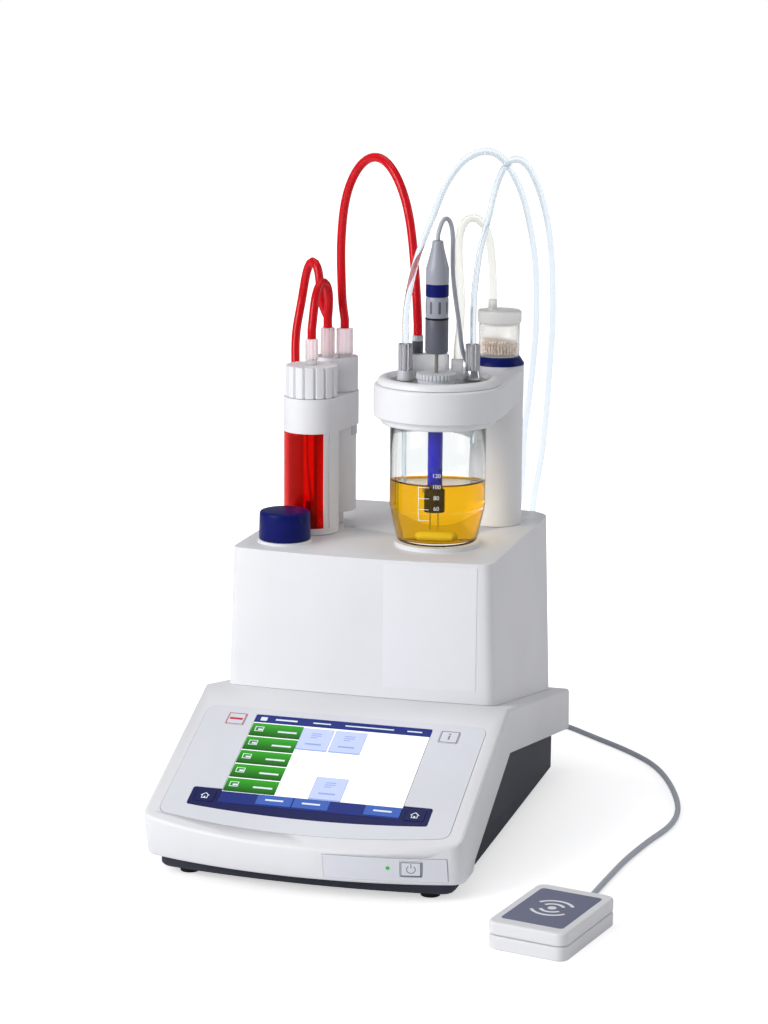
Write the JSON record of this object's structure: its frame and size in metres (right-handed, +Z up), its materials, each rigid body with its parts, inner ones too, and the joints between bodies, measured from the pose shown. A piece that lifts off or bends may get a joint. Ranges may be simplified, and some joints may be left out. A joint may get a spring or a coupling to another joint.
{
  "type": "bench titrator",
  "caption": "Bench titrator with a touch panel, motor burette, valve, stirred glass vessel on a stand, sensor, drying tube, hoses and a wired reader.",
  "frame": {"origin": "centre of the bounding box's footprint without the loose cords, on the standing surface", "axes": "+Z up, +X to the right as the operator sees the sloping panel, +Y away from the operator"},
  "size_m": [0.3183, 0.5579, 0.4508],
  "materials": {
    "white_plastic": "satin moulded",
    "slate_plastic": "satin moulded",
    "navy_plastic": "glossy moulded",
    "grey_plastic": "satin moulded",
    "black_rubber": "matte",
    "board_green": "solder-resist film on a laminate",
    "screen_white": "smooth display glass",
    "dark_metal": "machined and blackened",
    "clear_glass": "clear",
    "pale_plastic": "satin machined",
    "polished_metal": "polished",
    "blue_plastic": "glossy",
    "red_sleeve": "clear, tinted against light",
    "milky_plastic": "milky, slightly see-through",
    "red_tube": "clear, tinted, glossy",
    "clear_tube": "clear fluoropolymer",
    "grey_cable": "matte jacket"
  },
  "bodies": {
    "instrument": {"upper_shell": "white_plastic", "tower_housing": "white_plastic", "titration_stand": "white_plastic", "front_bezel": "white_plastic", "power_panel": "white_plastic", "burette_frame": "white_plastic", "valve_head": "white_plastic", "valve_drive": "white_plastic", "reader_base": "white_plastic", "reader_top": "white_plastic", "lower_housing": "slate_plastic", "rear_panel": "slate_plastic", "key_band": "navy_plastic", "column_collar": "navy_plastic", "sensor_head": "grey_plastic", "foot_front_left": "black_rubber", "foot_front_right": "black_rubber", "foot_rear_left": "black_rubber", "foot_rear_right": "black_rubber", "main_board": "board_green", "touch_screen": "screen_white", "stirrer_motor": "dark_metal", "burette_motor": "dark_metal", "glass_vessel": "clear_glass", "burette_barrel": "clear_glass", "drying_cup": "clear_glass", "vessel_lid": "pale_plastic", "sensor_shaft": "blue_plastic", "light_sleeve": "red_sleeve", "fitting_burette": "milky_plastic", "fitting_transfer": "milky_plastic", "fitting_dosing": "milky_plastic", "drying_cap": "milky_plastic", "drying_hose": "milky_plastic", "tube_transfer": "red_tube", "tube_dosing": "red_tube", "tube_bottle": "red_tube", "bottle_coil": "red_tube", "solvent_tube": "clear_tube", "solvent_coil": "clear_tube", "waste_tube": "clear_tube", "waste_coil": "clear_tube", "sensor_cable": "grey_cable", "reader_cable": "grey_cable"},
    "power_button": {"power_button": "white_plastic"},
    "reset_key": {"reset_key": "white_plastic"},
    "info_key": {"info_key": "white_plastic"},
    "home_key_left": {"home_key_left": "navy_plastic"},
    "home_key_right": {"home_key_right": "navy_plastic"},
    "piston": {"burette_piston": "dark_metal"},
    "valve_rotor": {"valve_rotor": "pale_plastic"},
    "burette_cap": {"burette_cap": "white_plastic"},
    "parking_cap": {"parking_cap": "navy_plastic"},
    "clamp_ring": {"clamp_ring": "white_plastic"},
    "sensor_nut": {"sensor_nut": "pale_plastic"},
    "knob_left": {"knob_left": "polished_metal"},
    "knob_right": {"knob_right": "polished_metal"},
    "dosing_nut": {"dosing_nut": "slate_plastic"},
    "stirrer_rotor": {"stirrer_rotor": "dark_metal"},
    "stir_bar": {"stir_bar": "white_plastic"}
  },
  "joints": [
    {"name": "power_button_press", "type": "slide", "parent": "instrument", "child": "power_button", "axis": [-0.2045, 0.9498, 0.2366], "range_m": [0, 0.001], "stiffness_N_per_m": 800},
    {"name": "reset_key_press", "type": "slide", "parent": "instrument", "child": "reset_key", "axis": [0, 0.4022, -0.9155], "range_m": [0, 0.0003], "stiffness_N_per_m": 1500},
    {"name": "info_key_press", "type": "slide", "parent": "instrument", "child": "info_key", "axis": [0, 0.4022, -0.9155], "range_m": [0, 0.0003], "stiffness_N_per_m": 1500},
    {"name": "home_key_left_press", "type": "slide", "parent": "instrument", "child": "home_key_left", "axis": [0, 0.4022, -0.9155], "range_m": [0, 0.0003], "stiffness_N_per_m": 1500},
    {"name": "home_key_right_press", "type": "slide", "parent": "instrument", "child": "home_key_right", "axis": [0, 0.4022, -0.9155], "range_m": [0, 0.0003], "stiffness_N_per_m": 1500},
    {"name": "piston_stroke", "type": "slide", "parent": "instrument", "child": "piston", "axis": [0, 0, 1], "range_m": [0, 0.05]},
    {"name": "valve_turn", "type": "hinge", "parent": "instrument", "child": "valve_rotor", "pos_m": [-0.09494, 0.10686, 0.262], "axis": [0, 0, 1], "range_deg": [0, 120]},
    {"name": "burette_cap_turn", "type": "hinge", "parent": "instrument", "child": "burette_cap", "pos_m": [-0.10274, 0.07446, 0.2828], "axis": [0, 0, 1], "continuous": true},
    {"name": "parking_cap_lift", "type": "slide", "parent": "instrument", "child": "parking_cap", "axis": [0, 0, 1], "range_m": [0, 0.03]},
    {"name": "clamp_ring_turn", "type": "hinge", "parent": "instrument", "child": "clamp_ring", "pos_m": [-0.00874, 0.05746, 0.2718], "axis": [0, 0, 1], "range_deg": [0, 30]},
    {"name": "sensor_nut_turn", "type": "hinge", "parent": "instrument", "child": "sensor_nut", "pos_m": [-0.00617, 0.04104, 0.3008], "axis": [0, 0, 1], "continuous": true},
    {"name": "knob_left_turn", "type": "hinge", "parent": "instrument", "child": "knob_left", "pos_m": [-0.02965, 0.04946, 0.3008], "axis": [0, 0, 1], "continuous": true},
    {"name": "knob_right_turn", "type": "hinge", "parent": "instrument", "child": "knob_right", "pos_m": [0.01326, 0.06161, 0.3008], "axis": [0, 0, 1], "continuous": true},
    {"name": "dosing_nut_turn", "type": "hinge", "parent": "instrument", "child": "dosing_nut", "pos_m": [-0.02485, 0.06225, 0.3173], "axis": [0, 0, 1], "continuous": true},
    {"name": "stirrer_turn", "type": "hinge", "parent": "instrument", "child": "stirrer_rotor", "pos_m": [-0.00874, 0.05746, 0.16], "axis": [0, 0, 1], "continuous": true},
    {"name": "stir_bar_turn", "type": "hinge", "parent": "instrument", "child": "stir_bar", "pos_m": [-0.00874, 0.05746, 0.1947], "axis": [0, 0, 1], "continuous": true}
  ],
  "couplings": [
    {"joint": "stir_bar_turn", "follows": "stirrer_turn", "ratio": 1}
  ]
}
